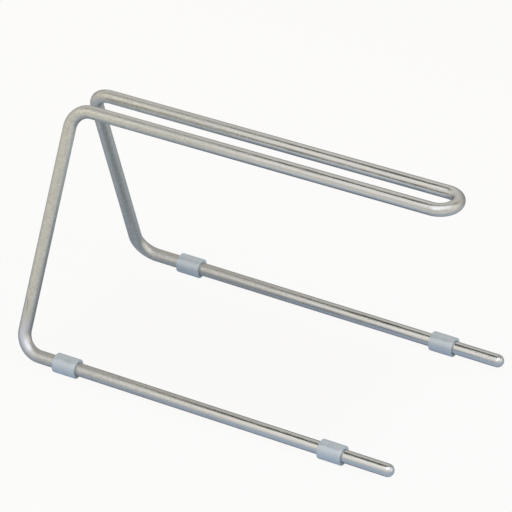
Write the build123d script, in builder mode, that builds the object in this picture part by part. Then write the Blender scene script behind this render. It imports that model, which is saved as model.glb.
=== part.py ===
from build123d import *
from math import cos, radians, sin, tan
import os

# A rack for hinged instruments, bent from one steel rod and standing on four tube sleeves.
# Frame, in millimetres: +X runs along the legs, from the two heels towards the leg tips,
# +Y from the front leg to the back leg, and +Z up. The origin is on the table top, under
# the middle of the rack.

# The rod, as bar stock, and how it is bent
rod_diameter = 6.35
bend_radius = 10.3

# The base: two parallel legs, measured along their centre lines
leg_length = 202.0
leg_spacing = 107.0

# The uprights, from the leg's centre line to the rail's, and how far their tops lean
upright_height = 111.5
upright_lean = 3.9

# The top loop: two rails joined by a return bend, with a slot between them
rail_spacing = 17.0
rail_length = 198.6
rail_pitch = 0.78

# The sleeves: short cuts of soft tube, pushed over the legs and pressed slightly flat below
sleeve_diameter = 9.5
sleeve_length = 12.0
sleeve_edge_chamfer = 0.4
sleeve_fit_gap = 0.05
sleeve_flattening = 0.12
front_heel_sleeve_inset = 26.3
back_heel_sleeve_inset = 30.0
tip_sleeve_inset = 32.0

rod_radius = rod_diameter / 2
sleeve_radius = sleeve_diameter / 2
leg_y = leg_spacing / 2
rail_y = rail_spacing / 2
leg_z = sleeve_radius - sleeve_flattening
rail_z = leg_z + upright_height

# How far the heel bend's outer side stands inside its corner, seen from the end
upright = Vector(upright_lean, leg_y - rail_y, upright_height)
heel_angle = upright.get_angle(Vector(1, 0, 0))
heel_setback = bend_radius / tan(radians(heel_angle / 2)) - bend_radius

# The origin lies midway between the heels' outer side and the end of the return bend
rail_end = upright_lean + rail_length * cos(radians(rail_pitch)) + rod_radius
heel_x = -(heel_setback - rod_radius + rail_end) / 2
tip_x = heel_x + leg_length

# The plane of the two rails: its x runs along them, from over the upright's top corners
rail_along = Vector(cos(radians(rail_pitch)), 0, sin(radians(rail_pitch)))
rail_plane = Plane(
    origin=(heel_x + upright_lean, 0, rail_z), x_dir=rail_along, z_dir=rail_along.cross(Vector(0, 1, 0))
)

# The corners of the front half of the rod, from its tip to where the return bend starts.
# The tip's own point is the centre of its dome, one radius short of the leg's end.
front_tip = Vector(tip_x - rod_radius, -leg_y, leg_z)
front_heel = Vector(heel_x, -leg_y, leg_z)
front_top = rail_plane.from_local_coords(Vector(0, -rail_y, 0))
front_bend = rail_plane.from_local_coords(Vector(rail_length - rail_y, -rail_y, 0))
back_bend = rail_plane.from_local_coords(Vector(rail_length - rail_y, rail_y, 0))


# The rod: leg, upright and rail, the return bend, and the same again behind
with BuildPart() as bent_rod_frame:
    with BuildLine() as centre_line:
        front_run = FilletPolyline(front_tip, front_heel, front_top, front_bend, radius=bend_radius)
        TangentArc(front_bend, back_bend, tangent=rail_along)
        mirror(front_run, about=Plane.XZ)
    with BuildSketch(Plane(origin=front_tip, z_dir=front_run % 0)):
        Circle(rod_radius)
    sweep(path=centre_line.wire())
    # Each leg ends in a polished dome
    dome_centres = [(front_tip.X, side * leg_y, leg_z) for side in (-1, 1)]
    with Locations([Location(centre, (0, 90, 0)) for centre in dome_centres]):
        Sphere(rod_radius, arc_size1=0, align=(Align.CENTER, Align.CENTER, Align.MIN))
bent_rod_frame.part.label = "bent_rod_frame"

# The sleeves, each named by its leg and its end of the leg, with the middle of its length
sleeve_places = {
    "front_heel_sleeve": (heel_x + front_heel_sleeve_inset, -leg_y),
    "front_tip_sleeve": (tip_x - tip_sleeve_inset, -leg_y),
    "back_heel_sleeve": (heel_x + back_heel_sleeve_inset, leg_y),
    "back_tip_sleeve": (tip_x - tip_sleeve_inset, leg_y),
}
sleeves = []
for sleeve_name, (sleeve_x, sleeve_y) in sleeve_places.items():
    with BuildPart() as sleeve:
        with BuildSketch(Plane(origin=(sleeve_x, sleeve_y, leg_z), z_dir=(1, 0, 0))):
            Circle(sleeve_radius)
            Circle(rod_radius + sleeve_fit_gap, mode=Mode.SUBTRACT)
        extrude(amount=sleeve_length / 2, both=True)
        outer_rims = sleeve.edges().filter_by(GeomType.CIRCLE).group_by(SortBy.RADIUS)[-1]
        chamfer(outer_rims, sleeve_edge_chamfer)
        # The table top flattens its underside
        split(bisect_by=Plane.XY)
    sleeve.part.label = sleeve_name
    sleeves.append(sleeve.part)

os.makedirs("parts", exist_ok=True)
for piece in [bent_rod_frame.part, *sleeves]:
    export_step(piece, f"parts/{piece.label}.step")
    print(piece.label, "volume", round(piece.volume, 1))
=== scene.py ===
import logging
import math
from collections.abc import Callable, Iterator
from contextlib import contextmanager
from dataclasses import dataclass, field
from enum import Enum

import bmesh
import bpy
from mathutils import Matrix, Vector


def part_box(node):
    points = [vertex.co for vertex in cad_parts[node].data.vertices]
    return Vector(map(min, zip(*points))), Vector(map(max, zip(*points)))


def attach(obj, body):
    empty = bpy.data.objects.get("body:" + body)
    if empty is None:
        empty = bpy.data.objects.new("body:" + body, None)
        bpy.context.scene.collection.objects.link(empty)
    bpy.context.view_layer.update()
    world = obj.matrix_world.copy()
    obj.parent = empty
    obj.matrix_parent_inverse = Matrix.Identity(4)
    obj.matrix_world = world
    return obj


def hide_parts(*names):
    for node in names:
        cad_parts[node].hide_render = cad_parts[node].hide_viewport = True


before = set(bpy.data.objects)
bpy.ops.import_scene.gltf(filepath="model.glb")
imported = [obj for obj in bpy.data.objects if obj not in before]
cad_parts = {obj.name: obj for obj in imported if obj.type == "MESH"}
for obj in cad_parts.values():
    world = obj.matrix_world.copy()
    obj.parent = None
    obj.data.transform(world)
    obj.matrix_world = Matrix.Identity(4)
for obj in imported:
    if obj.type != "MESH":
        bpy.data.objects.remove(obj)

# An instrument rack: one drawn steel rod, bent into two feet, two uprights and a double rail,
# and standing on four soft tube sleeves. Lengths are in metres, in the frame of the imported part:
# +X from the heels to the leg tips, +Y from the front leg to the back one, +Z up.

log = logging.getLogger("instrument_rack")

MM = 0.001
BODY = "root"
STRAIGHT_ROD = "straight_rod"
BAKE_MAP = "OFBake"
SAME_PLACE = 0.01 * MM
SAME_POINT = 0.001 * MM
CREASE_ANGLE = math.radians(40)
NODE_PITCH = 220

Colour = tuple[float, float, float]
Span = tuple[float, float]

WHITE: Colour = (1.0, 1.0, 1.0)
WHOLE: Span = (0.0, 1.0)


class Pick(Enum):
    """What a selection in edit mode is made of."""

    VERTICES = "VERT"
    EDGES = "EDGE"


class Ramp(Enum):
    """How a mapped value goes from its start to its end."""

    SOFT = "SMOOTHSTEP"
    EVEN = "LINEAR"


class Slot(Enum):
    """The record's material slots, by name."""

    STEEL_ROD = "steel_rod"
    SOFT_SLEEVE = "soft_sleeve"


class Foot(Enum):
    """The four sleeves by the names of their nodes."""

    FRONT_HEEL = "front_heel_sleeve"
    FRONT_TIP = "front_tip_sleeve"
    BACK_HEEL = "back_heel_sleeve"
    BACK_TIP = "back_tip_sleeve"


def deselect_all() -> None:
    """Leaves nothing selected, so that an operator acts on what comes next alone."""
    bpy.ops.object.select_all(action="DESELECT")


def choose(piece: bpy.types.Object) -> None:
    """Makes a piece the only one selected, and the active one.

    Args:
        piece: The mesh object.
    """
    deselect_all()
    piece.select_set(True)
    bpy.context.view_layer.objects.active = piece


@contextmanager
def editing(piece: bpy.types.Object) -> Iterator[None]:
    """Holds one piece in edit mode.

    Args:
        piece: The mesh object to edit.
    """
    choose(piece)
    bpy.ops.object.mode_set(mode="EDIT")
    yield
    bpy.ops.object.mode_set(mode="OBJECT")


def pick(piece: bpy.types.Object, kind: Pick, test: Callable[[Vector], bool]) -> None:
    """Selects the parts of a mesh whose corners all pass a test, and nothing else.

    Args:
        piece: A mesh object in edit mode.
        kind: Vertices or edges.
        test: Says of a corner's place whether it belongs to the selection.
    """
    bpy.ops.mesh.select_mode(type=kind.value)
    bpy.ops.mesh.select_all(action="DESELECT")
    mesh = bmesh.from_edit_mesh(piece.data)
    for part in mesh.verts if kind is Pick.VERTICES else mesh.edges:
        corners = [part] if kind is Pick.VERTICES else part.verts
        part.select = all(test(corner.co) for corner in corners)
    mesh.select_flush_mode()
    bmesh.update_edit_mesh(piece.data)


def settle(piece: bpy.types.Object, name: str) -> None:
    """Names a new piece and puts its place into its mesh.

    Args:
        piece: The object that a primitive was added as.
        name: The piece's name.
    """
    piece.name = name
    piece.data.name = name
    bpy.ops.object.transform_apply(location=True, rotation=True, scale=True)


def smooth(piece: bpy.types.Object) -> None:
    """Shades a piece smooth, apart from its sharp edges.

    Args:
        piece: The mesh object.
    """
    choose(piece)
    bpy.ops.object.shade_smooth_by_angle(angle=CREASE_ANGLE)


def report(piece: bpy.types.Object, length: float) -> None:
    """Logs a finished piece.

    Args:
        piece: The mesh object.
        length: How long the rod or tube is.
    """
    log.info("%s: %.1f mm long, %d faces", piece.name, length / MM, len(piece.data.polygons))


def towards(azimuth: float, elevation: float) -> Vector:
    """The direction of an azimuth, from -Y towards +X, and an elevation, in radians."""
    across = math.cos(elevation)
    return Vector((math.sin(azimuth) * across, -math.cos(azimuth) * across, math.sin(elevation)))


class Nodes:
    """Builds one node tree, with its nodes laid out in the order that they are made.

    A term is what a socket is fed with: another node's output, a number, a colour or a vector.
    """

    def __init__(self, tree: bpy.types.NodeTree) -> None:
        """Starts an empty tree.

        Args:
            tree: The tree of a material, a world or a group.
        """
        self.tree = tree
        self.tree.nodes.clear()

    def add(self, kind: str, **settings: object) -> bpy.types.Node:
        """Adds a node.

        Args:
            kind: The node's type, such as ShaderNodeMath.
            settings: Its properties, by name.

        Returns:
            The new node.
        """
        node = self.tree.nodes.new(kind)
        node.location = (NODE_PITCH * len(self.tree.nodes), 0)
        for name, value in settings.items():
            setattr(node, name, value)
        return node

    def plug(self, socket: bpy.types.NodeSocket, term: object) -> None:
        """Feeds a socket with a term.

        Args:
            socket: The input.
            term: An output, which is linked, or a plain value, which is set.
        """
        if isinstance(term, bpy.types.NodeSocket):
            self.tree.links.new(term, socket)
        elif isinstance(term, (tuple, Vector)) and len(term) == 3 and socket.type == "RGBA":
            socket.default_value = (*term, 1.0)
        else:
            socket.default_value = term

    def fed(self, kind: str, inputs: dict[str | int, object], **settings: object) -> bpy.types.Node:
        """Adds a node and feeds its inputs.

        Args:
            kind: The node's type.
            inputs: Terms, by the input's name or number.
            settings: The node's properties, by name.

        Returns:
            The new node.
        """
        node = self.add(kind, **settings)
        for key, term in inputs.items():
            self.plug(node.inputs[key], term)
        return node

    def math(self, operation: str, *terms: object) -> bpy.types.NodeSocket:
        """Works an operation on numbers and returns the output."""
        return self.fed("ShaderNodeMath", dict(enumerate(terms)), operation=operation).outputs[0]

    def vector(self, operation: str, *terms: object) -> bpy.types.NodeSocket:
        """Does the same on vectors, of which a dot product and a length come out as numbers."""
        node = self.fed("ShaderNodeVectorMath", dict(enumerate(terms)), operation=operation)
        return node.outputs["Value" if operation in ("DOT_PRODUCT", "LENGTH") else "Vector"]

    def product(self, *masks: object) -> bpy.types.NodeSocket:
        """Multiplies masks.

        Args:
            masks: Two terms or more.

        Returns:
            The output with their product.
        """
        result, *others = masks
        for mask in others:
            result = self.math("MULTIPLY", result, mask)
        return result

    def split(self, source: bpy.types.NodeSocket) -> tuple[bpy.types.NodeSocket, ...]:
        """Takes a vector apart and returns the outputs of its three parts."""
        return tuple(self.fed("ShaderNodeSeparateXYZ", {0: source}).outputs)

    def ramp(self, value: object, span: Span, start: float = 0.0, end: float = 1.0,
             way: Ramp = Ramp.SOFT) -> bpy.types.NodeSocket:
        """Maps a value that crosses a span.

        Args:
            value: The value.
            span: Where it starts and where it ends.
            start: What comes out before the span.
            end: What comes out after it.
            way: How it goes from one to the other.

        Returns:
            The output with the mapped value.
        """
        inputs = {"Value": value, "From Min": span[0], "From Max": span[1],
                  "To Min": start, "To Max": end}
        return self.fed("ShaderNodeMapRange", inputs, interpolation_type=way.value).outputs["Result"]

    def fade(self, value: object, span: Span) -> bpy.types.NodeSocket:
        """Makes a mask that fades out where a value crosses a span, and returns the output."""
        return self.ramp(value, span, 1.0, 0.0)

    def blend(self, share: object, first: object, second: object) -> bpy.types.NodeSocket:
        """Mixes two colours, with a share of the second, and returns the output."""
        return self.fed("ShaderNodeMix", {0: share, 6: first, 7: second}, data_type="RGBA").outputs[2]

    def bump(self, height: bpy.types.NodeSocket, depth: float) -> bpy.types.NodeSocket:
        """Presses a height pattern in to a depth and returns the surface's normal."""
        return self.fed("ShaderNodeBump", {"Distance": depth, "Height": height}).outputs["Normal"]

    def group(self, tree: bpy.types.NodeTree, **values: object) -> bpy.types.NodeSocket:
        """Places a node group.

        Args:
            tree: The group.
            values: Terms for its inputs, by name.

        Returns:
            The group's output.
        """
        inputs = {name.title(): value for name, value in values.items()}
        return self.fed("ShaderNodeGroup", inputs, node_tree=tree).outputs[0]

    def end_with(self, shader: bpy.types.Node, output: str = "ShaderNodeOutputMaterial") -> None:
        """Makes a shader the tree's surface."""
        self.fed(output, {"Surface": shader.outputs[0]})


def new_material(name: str) -> tuple[bpy.types.Material, Nodes]:
    """Starts a material.

    Args:
        name: The material's name.

    Returns:
        The material, and the builder of its node tree.
    """
    material = bpy.data.materials.new(name)
    material.use_nodes = True
    return material, Nodes(material.node_tree)


def new_group(name: str, inputs: dict[str, str],
              output: str) -> tuple[Nodes, bpy.types.Node, bpy.types.Node]:
    """Starts a shader node group that puts out one mask.

    Args:
        name: The group's name.
        inputs: Socket types by input name.
        output: The mask's name.

    Returns:
        The builder of the group's tree, and its input and output nodes.
    """
    tree = bpy.data.node_groups.new(name, "ShaderNodeTree")
    for socket, kind in inputs.items():
        tree.interface.new_socket(socket, in_out="INPUT", socket_type=kind)
    tree.interface.new_socket(output, in_out="OUTPUT", socket_type="NodeSocketFloat")
    nodes = Nodes(tree)
    return nodes, nodes.add("NodeGroupInput"), nodes.add("NodeGroupOutput")


def drawing_lines(detail: float = 2.5, roughness: float = 0.6,
                  contrast: Span = (0.33, 0.67)) -> bpy.types.NodeTree:
    """Makes the group for the lines that a drawing die leaves along a rod.

    Args:
        detail: How many finer lines lie within the broad ones.
        roughness: How strong the finer ones are.
        contrast: The levels of the noise that come out dark and light.

    Returns:
        A group whose Lines are long streaks along X of the Place that it is given.
    """
    inputs = {"Place": "NodeSocketVector", "Spacing": "NodeSocketFloat", "Length": "NodeSocketFloat"}
    nodes, given, result = new_group("drawing_lines", inputs, "Lines")
    across = nodes.math("DIVIDE", 1.0, given.outputs["Spacing"])
    ahead = nodes.math("DIVIDE", 1.0, given.outputs["Length"])
    shrink = nodes.fed("ShaderNodeCombineXYZ", {"X": ahead, "Y": across, "Z": across})
    place = nodes.vector("MULTIPLY", given.outputs["Place"], shrink.outputs["Vector"])
    noise = nodes.fed("ShaderNodeTexNoise",
                      {"Vector": place, "Scale": 1.0, "Detail": detail, "Roughness": roughness})
    nodes.plug(result.inputs["Lines"], nodes.ramp(noise.outputs["Fac"], contrast))
    return nodes.tree


def handling_haze(swirl: float = 0.4, contrast: Span = (0.35, 0.65)) -> bpy.types.NodeTree:
    """Makes the group for the cloudy patches that handling and wiping leave.

    Args:
        swirl: How much the patches are drawn out of shape.
        contrast: The levels of the noise that come out clear and hazy.

    Returns:
        A group whose Haze is a soft mask over Place, with patches of a Size.
    """
    inputs = {"Place": "NodeSocketVector", "Size": "NodeSocketFloat", "Detail": "NodeSocketFloat"}
    nodes, given, result = new_group("handling_haze", inputs, "Haze")
    noise = nodes.fed("ShaderNodeTexNoise", {
        "Vector": given.outputs["Place"],
        "Scale": nodes.math("DIVIDE", 1.0, given.outputs["Size"]),
        "Detail": given.outputs["Detail"],
        "Distortion": swirl,
    })
    nodes.plug(result.inputs["Haze"], nodes.ramp(noise.outputs["Fac"], contrast))
    return nodes.tree


@dataclass(frozen=True)
class RodPlace:
    """Where a point of the rod lies, as outputs of the material's nodes.

    Attributes:
        straight: Its place on the straight rod that the rack was bent from, in millimetres.
        ahead: The distance along that rod from the front leg's tip, in millimetres.
        from_tip: The distance from the nearer tip, in millimetres.
        angle: The angle around the rod, in radians.
        x: The place from the heels to the leg tips, in metres.
        z: The height, in metres.
    """

    straight: bpy.types.NodeSocket
    ahead: bpy.types.NodeSocket
    from_tip: bpy.types.NodeSocket
    angle: bpy.types.NodeSocket
    x: bpy.types.NodeSocket
    z: bpy.types.NodeSocket


@dataclass(frozen=True)
class DrawnSteel:
    """Drawn stainless rod, satin on the long runs and brighter towards the leg tips.

    A span is where a mask comes in or fades out. Spans in x or z are in metres, in the part's
    frame. Patterns, and what is measured from a tip or around the rod, are in millimetres.

    Attributes:
        half_length: The rod's length from a tip to the middle of the return bend, in millimetres.
        rod_radius: The rod's radius, in millimetres.
        rail_rise: The slope of the rails.
    """

    half_length: float
    rod_radius: float
    rail_rise: float

    clean: Colour = (0.60, 0.596, 0.567)
    edge_tint: Colour = (0.55, 0.56, 0.60)
    stained: Colour = (0.475, 0.453, 0.39)
    warm: Colour = (0.655, 0.637, 0.565)
    # Lighter along the top of the rails.
    lighter_rail_top: Colour = (0.74, 0.735, 0.70)
    scuffed: Colour = (0.09, 0.085, 0.075)
    # Painted highlight: a lighter, bluer colour laid on the heel bends' outer side where a highlight
    # falls.
    painted_heel_highlight: Colour = (0.61, 0.62, 0.655)

    fine_line_spacing: float = 0.35
    fine_line_length: float = 5.0
    fine_line_share: float = 0.45
    fine_line_relief: float = 0.35
    broad_line_spacing: float = 1.1
    broad_line_length: float = 24.0
    broad_line_share: float = 0.55
    line_depth: float = 0.026 * MM

    haze_size: float = 2.6
    haze_detail: float = 3.0
    grit_size: float = 0.8
    grit_detail: float = 2.0
    grit_share: float = 0.5
    streak_share: float = 0.44
    stain_share: float = 0.16

    heel_wear_x: Span = (-0.045, 0.06)
    rail_wear_z: Span = (0.05, 0.1)
    rail_wear_x: Span = (0.085, 0.1)
    rail_wear: float = 0.4
    return_wear: float = 0.85
    polished_roughness: float = 0.035
    worn_roughness: float = 0.44
    worn_dullness: float = 0.725
    haze_dullness: float = 0.2

    warm_x: Span = (-0.095, -0.03)
    warm_z: Span = (0.012, 0.036)
    rail_crown_z: Span = (0.1195, 0.1215)

    matt_begins: Span = (120.0, 180.0)
    matt_ends: Span = (190.0, 196.0)
    matt_roughness: float = 0.13

    # Where the painted highlight lies on the heel bends, along and around the rod, and how much
    # glossier the steel is there.
    highlight_begins: Span = (189.0, 196.0)
    highlight_ends: Span = (203.0, 213.0)
    highlight_angle: float = math.radians(-53)
    highlight_spread: Span = (math.radians(8), math.radians(41))
    highlight_polish: float = 0.05

    scuff_begins: float = 214.3
    scuff_length: float = 6.0
    scuff_around: float = -3.5
    scuff_slant: float = -0.11
    scuff_half_width: Span = (0.14, 0.28)
    scuff_fade: float = 0.3
    scuff_beat: float = 5.2
    scuff_gaps: Span = (-0.7, 0.3)

    def material(self, lines: bpy.types.NodeTree, haze: bpy.types.NodeTree) -> bpy.types.Material:
        """Makes the rod's material.

        Args:
            lines: The group of drawing lines.
            haze: The group of handling haze.

        Returns:
            A metal whose tone, gloss and relief follow the rod's own length.
        """
        material, nodes = new_material("drawn_steel")
        at = self.rod_place(nodes)
        fine = nodes.group(lines, place=at.straight, spacing=self.fine_line_spacing,
                           length=self.fine_line_length)
        broad = nodes.group(lines, place=at.straight, spacing=self.broad_line_spacing,
                            length=self.broad_line_length)
        cloud = nodes.group(haze, place=at.straight, size=self.haze_size, detail=self.haze_detail)
        grit = nodes.group(haze, place=at.straight, size=self.grit_size, detail=self.grit_detail)
        streaks = nodes.math("MULTIPLY_ADD", broad, self.broad_line_share,
                             nodes.math("MULTIPLY", fine, self.fine_line_share))
        speckle = nodes.math("MULTIPLY_ADD", nodes.product(streaks, cloud), self.streak_share,
                             nodes.math("MULTIPLY_ADD", grit, self.grit_share, self.stain_share))
        worn = self.worn(nodes, at)
        painted_highlight = self.heel_highlight_mask(nodes, at)
        relief = nodes.math("MULTIPLY_ADD", fine, self.fine_line_relief, broad)
        nodes.end_with(nodes.fed("ShaderNodeBsdfPrincipled", {
            "Metallic": 1.0,
            "Specular Tint": self.edge_tint,
            # The heel bends take a painted highlight over the steel's tone.
            "Base Color": nodes.blend(painted_highlight, self.tone(nodes, at, nodes.product(speckle, worn)),
                                      self.painted_heel_highlight),
            "Roughness": nodes.math("MULTIPLY_ADD", painted_highlight, -self.highlight_polish,
                                    self.roughness(nodes, at, worn, cloud)),
            "Normal": nodes.bump(relief, self.line_depth),
        }))
        return material

    def rod_place(self, nodes: Nodes) -> RodPlace:
        """Adds the nodes that say where on the rod a point lies.

        Args:
            nodes: The material's nodes.

        Returns:
            What the masks are made from.
        """
        straight = nodes.add("ShaderNodeAttribute", attribute_name=STRAIGHT_ROD).outputs["Vector"]
        ahead, up, side = nodes.split(straight)
        from_middle = nodes.math("ABSOLUTE", nodes.math("SUBTRACT", ahead, self.half_length))
        from_tip = nodes.math("SUBTRACT", self.half_length, from_middle)
        x, _, z = nodes.split(nodes.add("ShaderNodeTexCoord").outputs["Object"])
        return RodPlace(straight, ahead, from_tip, nodes.math("ARCTAN2", side, up), x, z)

    def worn(self, nodes: Nodes, at: RodPlace) -> bpy.types.NodeSocket:
        """Marks how worn the rod is: most round the heels, less on the rails, more at their return.

        Args:
            nodes: The material's nodes.
            at: Where on the rod a point lies.

        Returns:
            The output that holds the mask.
        """
        rails = nodes.product(nodes.ramp(at.z, self.rail_wear_z),
                              nodes.ramp(at.x, self.rail_wear_x, self.rail_wear, self.return_wear))
        return nodes.math("MAXIMUM", nodes.fade(at.x, self.heel_wear_x), rails)

    def tone(self, nodes: Nodes, at: RodPlace, stain: bpy.types.NodeSocket) -> bpy.types.NodeSocket:
        """Lays the steel's tones over each other.

        Args:
            nodes: The material's nodes.
            at: Where on the rod a point lies.
            stain: How stained the steel is.

        Returns:
            The output that holds the colour, before the painted highlight on the heels is laid over
            it.
        """
        warmth = nodes.product(nodes.fade(at.x, self.warm_x), nodes.ramp(at.z, self.warm_z))
        base = nodes.blend(stain, nodes.blend(warmth, self.clean, self.warm), self.stained)
        # The top of the rails is made lighter.
        over_rails = nodes.math("MULTIPLY_ADD", at.x, -self.rail_rise, at.z)
        base = nodes.blend(nodes.ramp(over_rails, self.rail_crown_z), base, self.lighter_rail_top)
        return nodes.blend(self.scuff(nodes, at), base, self.scuffed)

    def roughness(self, nodes: Nodes, at: RodPlace, worn: bpy.types.NodeSocket,
                  cloud: bpy.types.NodeSocket) -> bpy.types.NodeSocket:
        """Makes the worn stretches duller, and those before the heels duller again.

        Args:
            nodes: The material's nodes.
            at: Where on the rod a point lies.
            worn: How worn the rod is.
            cloud: The handling haze.

        Returns:
            The output that holds the roughness.
        """
        dull = nodes.math("MULTIPLY_ADD", cloud, self.haze_dullness, self.worn_dullness)
        gloss = nodes.ramp(nodes.product(dull, worn), WHOLE, self.polished_roughness,
                           self.worn_roughness, Ramp.EVEN)
        matt = nodes.product(nodes.ramp(at.from_tip, self.matt_begins, 0.0, self.matt_roughness),
                             nodes.fade(at.from_tip, self.matt_ends))
        return nodes.math("ADD", gloss, matt)

    def heel_highlight_mask(self, nodes: Nodes, at: RodPlace) -> bpy.types.NodeSocket:
        """Marks where a highlight is painted on the heel bends, on the side that faces away from the
        rack.

        Args:
            nodes: The material's nodes.
            at: Where on the rod a point lies.

        Returns:
            The output that holds the mask.
        """
        away = nodes.math("ABSOLUTE", nodes.math("SUBTRACT", at.angle, self.highlight_angle))
        return nodes.product(nodes.ramp(at.from_tip, self.highlight_begins),
                             nodes.fade(at.from_tip, self.highlight_ends),
                             nodes.fade(away, self.highlight_spread))

    def scuff(self, nodes: Nodes, at: RodPlace) -> bpy.types.NodeSocket:
        """Marks the slanting row of dark specks on the front upright.

        Args:
            nodes: The material's nodes.
            at: Where on the rod a point lies.

        Returns:
            The output that holds the mask.
        """
        around = nodes.math("MULTIPLY", at.angle, self.rod_radius)
        ahead = nodes.math("SUBTRACT", at.ahead, self.scuff_begins)
        row = nodes.math("MULTIPLY_ADD", ahead, self.scuff_slant, self.scuff_around)
        away = nodes.math("ABSOLUTE", nodes.math("SUBTRACT", around, row))
        beat = nodes.math("SINE", nodes.math("MULTIPLY", ahead, self.scuff_beat))
        return nodes.product(
            nodes.fade(away, self.scuff_half_width),
            nodes.ramp(beat, self.scuff_gaps),
            nodes.ramp(ahead, (0.0, self.scuff_fade)),
            nodes.fade(ahead, (self.scuff_length - self.scuff_fade, self.scuff_length)),
        )


@dataclass(frozen=True)
class Silicone:
    """Matt blue-grey silicone tube, with sizes of patterns in millimetres."""

    colour: Colour = (0.328, 0.378, 0.402)
    dusty: Colour = (0.357, 0.405, 0.426)
    clean_roughness: float = 0.32
    dusty_roughness: float = 0.42
    index: float = 2.0
    specular: float = 1.0
    dust_size: float = 4.0
    dust_detail: float = 4.0
    grain_size: float = 0.6
    grain_detail: float = 2.0
    grain_depth: float = 0.008 * MM

    def material(self, haze: bpy.types.NodeTree) -> bpy.types.Material:
        """Makes the sleeves' material.

        Args:
            haze: The group of handling haze.

        Returns:
            A soft plastic with dusty patches and a fine grain.
        """
        material, nodes = new_material("grey_silicone")
        where = nodes.add("ShaderNodeTexCoord").outputs["Object"]
        place = nodes.vector("MULTIPLY", where, Vector((1 / MM,) * 3))
        dust = nodes.group(haze, place=place, size=self.dust_size, detail=self.dust_detail)
        grain = nodes.group(haze, place=place, size=self.grain_size, detail=self.grain_detail)
        nodes.end_with(nodes.fed("ShaderNodeBsdfPrincipled", {
            "Base Color": nodes.blend(dust, self.colour, self.dusty),
            "Roughness": nodes.ramp(dust, WHOLE, self.clean_roughness, self.dusty_roughness),
            "IOR": self.index,
            "Specular IOR Level": self.specular,
            "Normal": nodes.bump(grain, self.grain_depth),
        }))
        return material


@dataclass(frozen=True)
class Run:
    """One stretch of the rod's centre line, straight or along an arc.

    Attributes:
        start: Where the stretch begins.
        along: Its direction there.
        up: A direction across the rod there, carried along the rod without twist.
        reach: Its length along the centre line.
        distance_in: The rod's length before it.
        axis: What an arc turns about, right-handed, or None on a straight stretch.
        radius: The arc's radius.
    """

    start: Vector
    along: Vector
    up: Vector
    reach: float
    distance_in: float
    axis: Vector | None = None
    radius: float = 0.0

    @property
    def turn(self) -> float:
        """The arc's angle in radians, or zero."""
        return self.reach / self.radius if self.axis else 0.0

    @property
    def centre(self) -> Vector:
        """The arc's centre."""
        return self.start + self.axis.cross(self.along) * self.radius

    def carried(self, direction: Vector) -> Vector:
        """A direction at the start as it is at the end."""
        return Matrix.Rotation(self.turn, 3, self.axis) @ direction if self.axis else direction.copy()

    @property
    def end(self) -> Vector:
        """Where the stretch ends."""
        if not self.axis:
            return self.start + self.along * self.reach
        return self.centre + Matrix.Rotation(self.turn, 3, self.axis) @ (self.start - self.centre)

    def unbent(self, point: Vector) -> tuple[float, Vector]:
        """Lays a point of the rod back onto the straight rod that the rack was bent from.

        Args:
            point: A point on or in the rod.

        Returns:
            The point's distance from this stretch's centre line, and its place on the straight
            rod: the distance along it, and the two distances across it.
        """
        beyond = 0.0
        if self.axis:
            arm = point - self.centre
            first = (self.start - self.centre).normalized()
            angle = math.atan2(arm.dot(self.along), arm.dot(first))
            angle = min(max(angle, 0.0), self.turn)
            point = self.centre + Matrix.Rotation(-angle, 3, self.axis) @ arm
            beyond = angle * self.radius
        offset = point - self.start
        ahead = offset.dot(self.along)
        inside = min(max(ahead, 0.0), self.reach if not self.axis else 0.0)
        away = (offset - self.along * inside).length
        side = self.along.cross(self.up)
        place = Vector((self.distance_in + beyond + ahead, offset.dot(self.up), offset.dot(side)))
        return away, place


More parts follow.
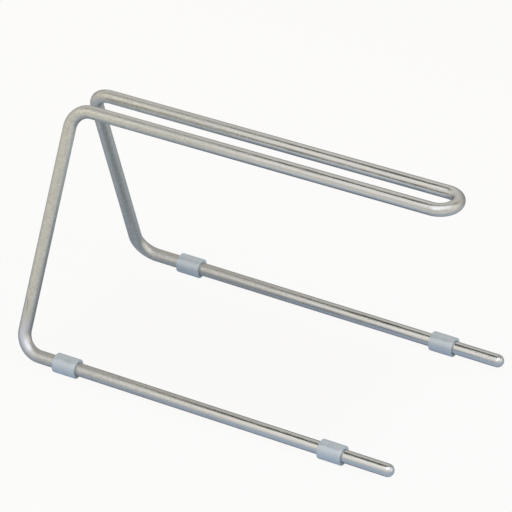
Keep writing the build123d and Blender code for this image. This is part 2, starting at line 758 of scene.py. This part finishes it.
@dataclass
class BentRod:
    """The rack's rod, modelled from the front leg's tip to the middle of the return bend.

    Its back half is the front half mirrored, as the rack is alike on both sides. It is a hair
    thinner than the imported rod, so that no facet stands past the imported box.
    """

    node: str = "bent_rod_frame"
    rod_diameter: float = 6.347 * MM
    bend_radius: float = 10.3 * MM
    leg_length: float = 202.0 * MM
    upright_height: float = 111.5 * MM
    upright_lean: float = 3.9 * MM
    rail_spacing: float = 17.0 * MM
    rail_pitch: float = math.radians(0.78)
    sides: int = 96
    tip_rings: int = 48
    straight_step: float = 4.0 * MM
    bend_step: float = math.radians(3.0)
    bake_strips: int = 7
    bake_margin: float = 0.04
    runs: list[Run] = field(default_factory=list)
    piece: bpy.types.Object | None = None
    radius: float = field(init=False)
    low: Vector = field(init=False)
    high: Vector = field(init=False)

    def __post_init__(self) -> None:
        """Reads the rod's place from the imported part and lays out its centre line."""
        self.radius = self.rod_diameter / 2
        self.low, self.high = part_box(self.node)
        self.lay_out()

    def lay_out(self) -> None:
        """Works out the stretches of the front half, from the leg's tip to the return bend."""
        leg = Vector((-1.0, 0.0, 0.0))
        rail = Vector((math.cos(self.rail_pitch), 0.0, math.sin(self.rail_pitch)))
        rail_y = self.rail_spacing / 2
        leg_y = self.high.y - self.radius
        upright = Vector((self.upright_lean, leg_y - rail_y, self.upright_height))
        rise = upright.normalized()
        heel_turn = leg.angle(rise)
        top_turn = rise.angle(rail)
        heel_room = self.bend_radius * math.tan(heel_turn / 2)
        top_room = self.bend_radius * math.tan(top_turn / 2)
        heel_x = self.low.x + self.radius + self.bend_radius - heel_room
        heel = Vector((heel_x, -leg_y, self.low.z + self.radius))
        top = heel + upright
        return_x = self.high.x - self.radius - rail_y * rail.x
        rail_reach = (return_x - top.x) / rail.x - top_room
        tip = heel - leg * (self.leg_length - self.radius)
        self.runs.append(Run(tip, leg, Vector((0, 0, 1)), (tip - heel).length - heel_room, 0.0))
        self.go_on(heel_turn * self.bend_radius, leg.cross(rise), self.bend_radius)
        self.go_on(upright.length - heel_room - top_room)
        self.go_on(top_turn * self.bend_radius, rise.cross(rail), self.bend_radius)
        self.go_on(rail_reach)
        self.go_on(math.pi / 2 * rail_y, rail.cross(Vector((0, 1, 0))), rail_y)

    def go_on(self, reach: float, axis: Vector | None = None, radius: float = 0.0) -> None:
        """Adds a stretch that goes on from the last one.

        Args:
            reach: The stretch's length.
            axis: What an arc turns about, or None on a straight stretch.
            radius: The arc's radius.
        """
        last = self.runs[-1]
        along, up = last.carried(last.along), last.carried(last.up)
        axis = axis.normalized() if axis else None
        self.runs.append(Run(last.end, along, up, reach, last.distance_in + last.reach, axis, radius))

    @property
    def half_length(self) -> float:
        """The centre line's length from a tip's centre to the middle of the return bend."""
        return sum(run.reach for run in self.runs)

    def build(self) -> None:
        """Models the rod as one closed mesh, and lays its pattern and bake map along it."""
        self.piece = self.domed_tip()
        with editing(self.piece):
            self.grow_half()
        self.mirror_half()
        self.lay_pattern()
        self.lay_bake_map()
        smooth(self.piece)

    def domed_tip(self) -> bpy.types.Object:
        """Adds a ball at the front leg's tip and cuts it to the half that closes the leg.

        Returns:
            The half ball, open towards the leg.
        """
        tip = self.runs[0]
        deselect_all()
        bpy.ops.mesh.primitive_uv_sphere_add(segments=self.sides, ring_count=self.tip_rings,
                                             radius=self.radius, location=tip.start,
                                             rotation=(0, math.pi / 2, 0))
        ball = bpy.context.object
        settle(ball, "bent_rod")
        with editing(ball):
            bpy.ops.mesh.select_all(action="SELECT")
            bpy.ops.mesh.bisect(plane_co=tip.start, plane_no=-tip.along, clear_inner=True,
                                threshold=SAME_POINT)
        return ball

    def grow_half(self) -> None:
        """Extrudes and spins the tip's open rim along the front half of the centre line."""
        first = self.runs[0]
        pick(self.piece, Pick.EDGES, lambda at: abs((at - first.start).dot(first.along)) < SAME_PLACE)
        for run in self.runs:
            if run.axis:
                bpy.ops.mesh.spin(steps=math.ceil(run.turn / self.bend_step), angle=-run.turn,
                                  center=run.centre, axis=run.axis)
                continue
            steps = math.ceil(run.reach / self.straight_step)
            for _ in range(steps):
                move = {"value": run.along * (run.reach / steps)}
                bpy.ops.mesh.extrude_region_move(TRANSFORM_OT_translate=move)

    def mirror_half(self) -> None:
        """Adds the back half, and joins the two in the middle of the return bend."""
        choose(self.piece)
        bpy.ops.object.modifier_add(type="MIRROR")
        mirror = self.piece.modifiers[-1]
        mirror.use_axis = (False, True, False)
        mirror.merge_threshold = SAME_PLACE
        bpy.ops.object.modifier_apply(modifier=mirror.name)
        with editing(self.piece):
            bpy.ops.mesh.select_all(action="SELECT")
            bpy.ops.mesh.remove_doubles(threshold=SAME_POINT)
            bpy.ops.mesh.normals_make_consistent(inside=False)

    def unbent(self, point: Vector) -> Vector:
        """Lays a point of either half back onto the straight rod.

        Args:
            point: A point of the rod.

        Returns:
            The point's place on the straight rod.
        """
        front = Vector((point.x, -abs(point.y), point.z))
        _, place = min((run.unbent(front) for run in self.runs), key=lambda found: found[0])
        if point.y > 0:
            place.x = 2 * self.half_length - place.x
        return place

    def lay_pattern(self) -> None:
        """Stores each vertex's place on the straight rod, in millimetres, for the finish."""
        mesh = self.piece.data
        places = mesh.attributes.new(STRAIGHT_ROD, "FLOAT_VECTOR", "POINT")
        for vertex, row in zip(mesh.vertices, places.data):
            row.vector = self.unbent(vertex.co) / MM

    def over_domes(self, ahead: float) -> float:
        """Rolls the tips' domes out onto the straight rod.

        Args:
            ahead: A distance along the straight rod, in millimetres.

        Returns:
            The same over the surface of the domes.
        """
        radius = self.radius / MM
        length = 2 * self.half_length / MM
        beyond = max(-ahead, ahead - length, 0.0)
        rolled = radius * math.asin(min(beyond / radius, 1.0)) - beyond
        return ahead - rolled if ahead < 0 else ahead + rolled

    def lay_bake_map(self) -> None:
        """Lays the straight rod's surface out in level strips, for textures baked from it."""
        mesh = self.piece.data
        sheet = mesh.uv_layers.new(name=BAKE_MAP)
        places = mesh.attributes[STRAIGHT_ROD].data
        step = self.straight_step / MM
        start = self.over_domes(-self.radius / MM)
        strip = (2 * self.half_length / MM - 2 * start) / self.bake_strips
        for face in mesh.polygons:
            corners = [places[vertex].vector for vertex in face.vertices]
            middle = sum(corners, Vector()) / len(corners)
            facing = math.atan2(middle.z, middle.y) % math.tau
            row = math.floor((self.over_domes(middle.x) - start) / strip)
            for loop, corner in zip(face.loop_indices, corners):
                at_pole = corner.yz.length <= SAME_POINT / MM
                turn = 0.0 if at_pole else math.atan2(corner.z, corner.y) - facing
                around = (facing + (turn + math.pi) % math.tau - math.pi) / math.tau
                ahead = self.over_domes(corner.x) - start - row * strip
                level = row + self.bake_margin + (1 - 2 * self.bake_margin) * around
                sheet.data[loop].uv = ((ahead + step / 2) / (strip + step), level / self.bake_strips)

    def dress(self, steel: bpy.types.Material) -> None:
        """Gives the rod its finish and puts it in the place of its node.

        Args:
            steel: The rod's material.
        """
        self.piece.data.materials.clear()
        self.piece.data.materials.append(steel)
        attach(self.piece, BODY)
        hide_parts(self.node)


@dataclass
class TubeSleeve:
    """One length of soft tube on the rod, slightly flattened where it stands.

    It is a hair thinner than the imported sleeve, for the same reason as the rod.
    """

    foot: Foot
    bore: float = 6.45 * MM
    diameter: float = 9.497 * MM
    sides: int = 96
    rim_rounding: float = 0.2 * MM
    rim_segments: int = 5
    bore_rounding: float = 0.05 * MM
    bore_segments: int = 2
    wall_cuts: int = 5
    piece: bpy.types.Object | None = None
    length: float = field(init=False)
    middle: Vector = field(init=False)
    floor: float = field(init=False)
    wall_middle: float = field(init=False)

    def __post_init__(self) -> None:
        """Reads the sleeve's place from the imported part."""
        low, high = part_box(self.foot.value)
        self.length = high.x - low.x
        self.middle = Vector(((low.x + high.x) / 2, (low.y + high.y) / 2, high.z - self.diameter / 2))
        self.floor = low.z
        self.wall_middle = (self.bore + self.diameter) / 4

    def from_axis(self, at: Vector) -> float:
        """How far a place lies from the tube's axis."""
        return math.hypot(at.y - self.middle.y, at.z - self.middle.z)

    def at_end(self, at: Vector) -> bool:
        """Whether a place lies in one of the two cut ends."""
        return abs(abs(at.x - self.middle.x) - self.length / 2) < SAME_PLACE

    def at_outer_rim(self, at: Vector) -> bool:
        """Whether a place lies in a cut end, in the outer half of the wall."""
        return self.at_end(at) and self.from_axis(at) > self.wall_middle

    def at_bore_rim(self, at: Vector) -> bool:
        """Whether a place lies in a cut end, in the inner half of the wall."""
        return self.at_end(at) and self.from_axis(at) < self.wall_middle

    def build(self) -> None:
        """Models the sleeve as one closed mesh."""
        deselect_all()
        bpy.ops.mesh.primitive_cylinder_add(vertices=self.sides, radius=self.diameter / 2,
                                            depth=self.length, end_fill_type="NOTHING",
                                            location=self.middle, rotation=(0, math.pi / 2, 0))
        self.piece = bpy.context.object
        settle(self.piece, self.foot.value.replace("sleeve", "tube"))
        with editing(self.piece):
            self.cut_ends()
            self.round_rims()
            self.press_flat()
            bpy.ops.mesh.select_all(action="SELECT")
            bpy.ops.mesh.normals_make_consistent(inside=False)
        smooth(self.piece)

    def cut_ends(self) -> None:
        """Closes both ends with a ring-shaped cut face, and the bore between them."""
        narrow = self.bore / self.diameter
        pick(self.piece, Pick.EDGES, self.at_end)
        bpy.ops.mesh.extrude_region_move()
        bpy.ops.transform.resize(value=(1.0, narrow, narrow), center_override=self.middle)
        pick(self.piece, Pick.EDGES, self.at_bore_rim)
        bpy.ops.mesh.bridge_edge_loops()
        for cut in range(1, self.wall_cuts + 1):
            bpy.ops.mesh.select_all(action="SELECT")
            ahead = self.length * (cut / (self.wall_cuts + 1) - 0.5)
            bpy.ops.mesh.bisect(plane_co=self.middle + Vector((ahead, 0, 0)), plane_no=(1, 0, 0))

    def round_rims(self) -> None:
        """Rounds the outer rims, and takes the edge off the bore."""
        pick(self.piece, Pick.EDGES, self.at_outer_rim)
        bpy.ops.mesh.bevel(offset=self.rim_rounding, segments=self.rim_segments)
        pick(self.piece, Pick.EDGES, self.at_bore_rim)
        bpy.ops.mesh.bevel(offset=self.bore_rounding, segments=self.bore_segments)

    def press_flat(self) -> None:
        """Presses the underside flat onto what the rack stands on."""
        ground = Vector((self.middle.x, self.middle.y, self.floor))
        pick(self.piece, Pick.VERTICES, lambda at: at.z < self.floor)
        bpy.ops.transform.resize(value=(1.0, 1.0, 0.0), center_override=ground)

    def dress(self, silicone: bpy.types.Material) -> None:
        """Gives the sleeve its finish and puts it in the place of its node.

        Args:
            silicone: The sleeves' material.
        """
        self.piece.data.materials.clear()
        self.piece.data.materials.append(silicone)
        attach(self.piece, BODY)
        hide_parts(self.foot.value)


@dataclass(frozen=True)
class Camera:
    """The camera at the photograph's viewing angle."""

    place: tuple[float, float, float] = (0.9246678, -1.5864182, 1.1829018)
    azimuth: float = math.radians(30.333)
    elevation: float = math.radians(31.436)
    roll: float = math.radians(0.13)
    lens: float = 324.238
    sensor: float = 36.0
    farthest: float = 200.0

    def build(self) -> None:
        """Adds the camera and makes it the scene's."""
        data = bpy.data.cameras.new("photo_camera")
        data.lens = self.lens
        data.sensor_width = self.sensor
        data.clip_end = self.farthest
        camera = bpy.data.objects.new("photo_camera", data)
        bpy.context.scene.collection.objects.link(camera)
        camera.location = self.place
        aim = (-towards(self.azimuth, self.elevation)).to_track_quat("-Z", "Y")
        camera.rotation_mode = "QUATERNION"
        camera.rotation_quaternion = aim @ Matrix.Rotation(self.roll, 3, "Z").to_quaternion()
        bpy.context.scene.camera = camera


@dataclass(frozen=True)
class SkyPatch:
    """A soft-edged part of the sky that is dimmer or brighter than the rest, with angles in degrees.

    Attributes:
        azimuth: The patch's middle, from -Y towards +X, or the pole of a band.
        elevation: The same, above the horizon.
        core: How far from the middle the patch is at its full strength.
        edge: How far from the middle it has faded out.
        level: What the sky is multiplied by at full strength.
        band: Whether the patch follows the circle a right angle away from its pole.
        above: The heights, as sines of elevations, between which the patch comes in.
    """

    azimuth: float
    elevation: float
    core: float
    edge: float
    level: float
    band: bool = False
    above: Span | None = None

    def factor(self, nodes: Nodes, look: bpy.types.NodeSocket,
               height: bpy.types.NodeSocket) -> bpy.types.NodeSocket:
        """Works out what the sky is multiplied by in each direction.

        Args:
            nodes: The world's nodes.
            look: The direction.
            height: The direction's upward part.

        Returns:
            The output that holds the factor.
        """
        middle = towards(math.radians(self.azimuth), math.radians(self.elevation))
        nearness = nodes.vector("DOT_PRODUCT", look, middle)
        core, edge = math.radians(self.core), math.radians(self.edge)
        if self.band:
            nearness = nodes.math("SUBTRACT", 1.0, nodes.math("ABSOLUTE", nearness))
            span = (1.0 - math.sin(edge), 1.0 - math.sin(core))
        else:
            span = (math.cos(edge), math.cos(core))
        strength = nodes.ramp(nearness, span)
        if self.above:
            strength = nodes.product(strength, nodes.ramp(height, self.above))
        return nodes.math("MULTIPLY_ADD", strength, self.level - 1.0, 1.0)


@dataclass(frozen=True)
class FlatLamp:
    """A flat lamp that faces the rack and stays out of the picture.

    Attributes:
        name: The lamp's name.
        azimuth: Where it hangs, from -Y towards +X, in degrees.
        elevation: The same, above the horizon.
        length: Its longer side.
        width: Its shorter side.
        watts: Its power.
        colour: Its colour.
        mirrored: Whether the polished steel mirrors it.
        distance: How far it hangs from the rack.
    """

    name: str
    azimuth: float
    elevation: float
    length: float
    width: float
    watts: float
    colour: Colour = WHITE
    mirrored: bool = True
    distance: float = 2.6

    def build(self) -> None:
        """Hangs the lamp."""
        data = bpy.data.lights.new(self.name, "AREA")
        data.shape = "RECTANGLE"
        data.size = self.length
        data.size_y = self.width
        data.energy = self.watts
        data.color = self.colour
        lamp = bpy.data.objects.new(self.name, data)
        bpy.context.scene.collection.objects.link(lamp)
        side = towards(math.radians(self.azimuth), math.radians(self.elevation))
        lamp.location = side * self.distance
        lamp.rotation_mode = "QUATERNION"
        lamp.rotation_quaternion = side.to_track_quat("Z", "Y")
        lamp.visible_camera = False
        lamp.visible_glossy = self.mirrored


@dataclass
class Studio:
    """A pale floor, a soft sky, a large softbox overhead and a soft fill beside the leg tips."""

    floor_size: float = 60.0
    # Painted shade on the floor, which the steel mirrors: cool near the rack, dimmer behind it, and a
    # darker painted shadow between its legs.
    floor_shade_near: Colour = (0.46, 0.57, 0.74)
    floor_far: Colour = (0.86, 0.87, 0.84)
    floor_reach: Span = (0.02, 0.36)
    floor_stretch: float = 1.7
    floor_shade_behind: Colour = (0.50, 0.52, 0.54)
    behind_y: Span = (0.08, 0.35)
    floor_shadow_between: Colour = (0.22, 0.27, 0.34)
    between_half_width: Span = (0.03, 0.055)
    between_half_length: Span = (0.05, 0.11)
    between_middle_x: float = -0.02

    floor_white: Colour = (1.0, 0.991, 0.978)
    floor_white_level: float = 0.99
    sky_white_level: float = 0.955
    shown_white: float = 0.95
    mirrored_white: float = 0.1

    horizon_level: float = 0.78
    upper_level: float = 0.92
    brightening: Span = (0.0, 0.5)
    sky_dark: Colour = (1.0, 0.95, 0.80)
    sky_light: Colour = (1.0, 0.99, 0.965)
    tint_levels: Span = (0.1, 0.8)
    patches: tuple[SkyPatch, ...] = (
        SkyPatch(-143, -16, core=5.5, edge=13, level=0.02, band=True, above=(0.58, 0.73)),
        SkyPatch(155, 10, core=15, edge=50, level=0.78),
        SkyPatch(105, 6, core=8, edge=42, level=1.45),
        SkyPatch(-145, 48, core=12, edge=50, level=0.84),
        SkyPatch(-38, 38, core=5, edge=28, level=1.26),
        SkyPatch(20, 40, core=4, edge=22, level=1.22),
        SkyPatch(-58, 7, core=8, edge=36, level=1.2),
        SkyPatch(-170, 2, core=12, edge=42, level=0.74),
    )

    lamps: tuple[FlatLamp, ...] = (
        FlatLamp("softbox", 38, 61, length=3.7, width=2.3, watts=20.0, colour=(0.86, 0.93, 1.15)),
        FlatLamp("fill", 85, 28, length=1.2, width=1.2, watts=14.0, mirrored=False),
    )

    def under_white(self, nodes: Nodes, tone: bpy.types.Node, white: bpy.types.Node) -> bpy.types.Node:
        """Lays plain white over a shader: the camera sees mostly white, a reflection a little.

        Args:
            nodes: The nodes of the floor or the world.
            tone: The shader that lights the rack.
            white: The plain white.

        Returns:
            The mixed shader.
        """
        ray = nodes.add("ShaderNodeLightPath").outputs
        seen = nodes.math("MULTIPLY", ray["Is Camera Ray"], self.shown_white)
        through = nodes.math("MAXIMUM", ray["Is Glossy Ray"], ray["Is Transmission Ray"])
        share = nodes.math("MAXIMUM", seen, nodes.math("MULTIPLY", through, self.mirrored_white))
        return nodes.fed("ShaderNodeMixShader", {0: share, 1: tone.outputs[0], 2: white.outputs[0]})

    def floor_tone(self, nodes: Nodes) -> bpy.types.NodeSocket:
        """Colours the floor as the steel mirrors it.

        Args:
            nodes: The floor's nodes.

        Returns:
            The output that holds a cool painted shade near the rack, a pale tone farther out, a dimmer
            painted shade behind it and a darker painted shadow between its legs.
        """
        where = nodes.add("ShaderNodeTexCoord").outputs["Object"]
        x, y, _ = nodes.split(where)
        flat = nodes.vector("MULTIPLY", where, Vector((1 / self.floor_stretch, 1, 0)))
        out = nodes.ramp(nodes.vector("LENGTH", flat), self.floor_reach)
        from_middle = nodes.math("ABSOLUTE", nodes.math("SUBTRACT", x, self.between_middle_x))
        # Painted shadow between the legs.
        between = nodes.product(nodes.fade(nodes.math("ABSOLUTE", y), self.between_half_width),
                                nodes.fade(from_middle, self.between_half_length))
        tone = nodes.blend(out, self.floor_shade_near, self.floor_far)
        tone = nodes.blend(between, tone, self.floor_shadow_between)
        return nodes.blend(nodes.ramp(y, self.behind_y), tone, self.floor_shade_behind)

    def build_floor(self) -> None:
        """Lays the floor, whose white backdrop still takes the rack's shadow."""
        deselect_all()
        bpy.ops.mesh.primitive_plane_add(size=self.floor_size, location=(0, 0, 0))
        floor = bpy.context.object
        floor.name = "floor"
        material, nodes = new_material("pale_floor")
        plain = nodes.fed("ShaderNodeBsdfDiffuse", {"Color": self.floor_tone(nodes)})
        white = nodes.fed("ShaderNodeEmission",
                          {"Color": self.floor_white, "Strength": self.floor_white_level})
        nodes.end_with(self.under_white(nodes, plain, white))
        floor.data.materials.append(material)

    def build_sky(self) -> None:
        """Makes the world, with its patches laid over a sky that brightens upwards."""
        world = bpy.data.worlds.new("studio")
        bpy.context.scene.world = world
        world.use_nodes = True
        nodes = Nodes(world.node_tree)
        look = nodes.add("ShaderNodeTexCoord").outputs["Generated"]
        _, _, height = nodes.split(look)
        level = nodes.ramp(height, self.brightening, self.horizon_level, self.upper_level)
        level = nodes.product(level, *(patch.factor(nodes, look, height) for patch in self.patches))
        tint = nodes.blend(nodes.ramp(level, self.tint_levels), self.sky_dark, self.sky_light)
        sky = nodes.fed("ShaderNodeBackground", {"Color": tint, "Strength": level})
        white = nodes.fed("ShaderNodeBackground", {"Color": WHITE, "Strength": self.sky_white_level})
        nodes.end_with(self.under_white(nodes, sky, white), "ShaderNodeOutputWorld")

    def build_lamps(self) -> None:
        """Hangs the softbox and the fill."""
        for lamp in self.lamps:
            lamp.build()


def main() -> None:
    """Builds the rack and its studio."""
    logging.basicConfig(level=logging.INFO, format="%(name)s: %(message)s")
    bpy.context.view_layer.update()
    bpy.context.scene.view_settings.view_transform = "Standard"
    lines, haze = drawing_lines(), handling_haze()
    rod = BentRod()
    steel = DrawnSteel(rod.half_length / MM, rod.radius / MM, math.tan(rod.rail_pitch))
    rod.build()
    rod.dress(steel.material(lines, haze))
    report(rod.piece, 2 * rod.half_length)
    silicone = Silicone().material(haze)
    for foot in Foot:
        sleeve = TubeSleeve(foot)
        sleeve.build()
        sleeve.dress(silicone)
        report(sleeve.piece, sleeve.length)
    studio = Studio()
    studio.build_floor()
    studio.build_sky()
    studio.build_lamps()
    Camera().build()


if __name__ == "__main__":
    main()
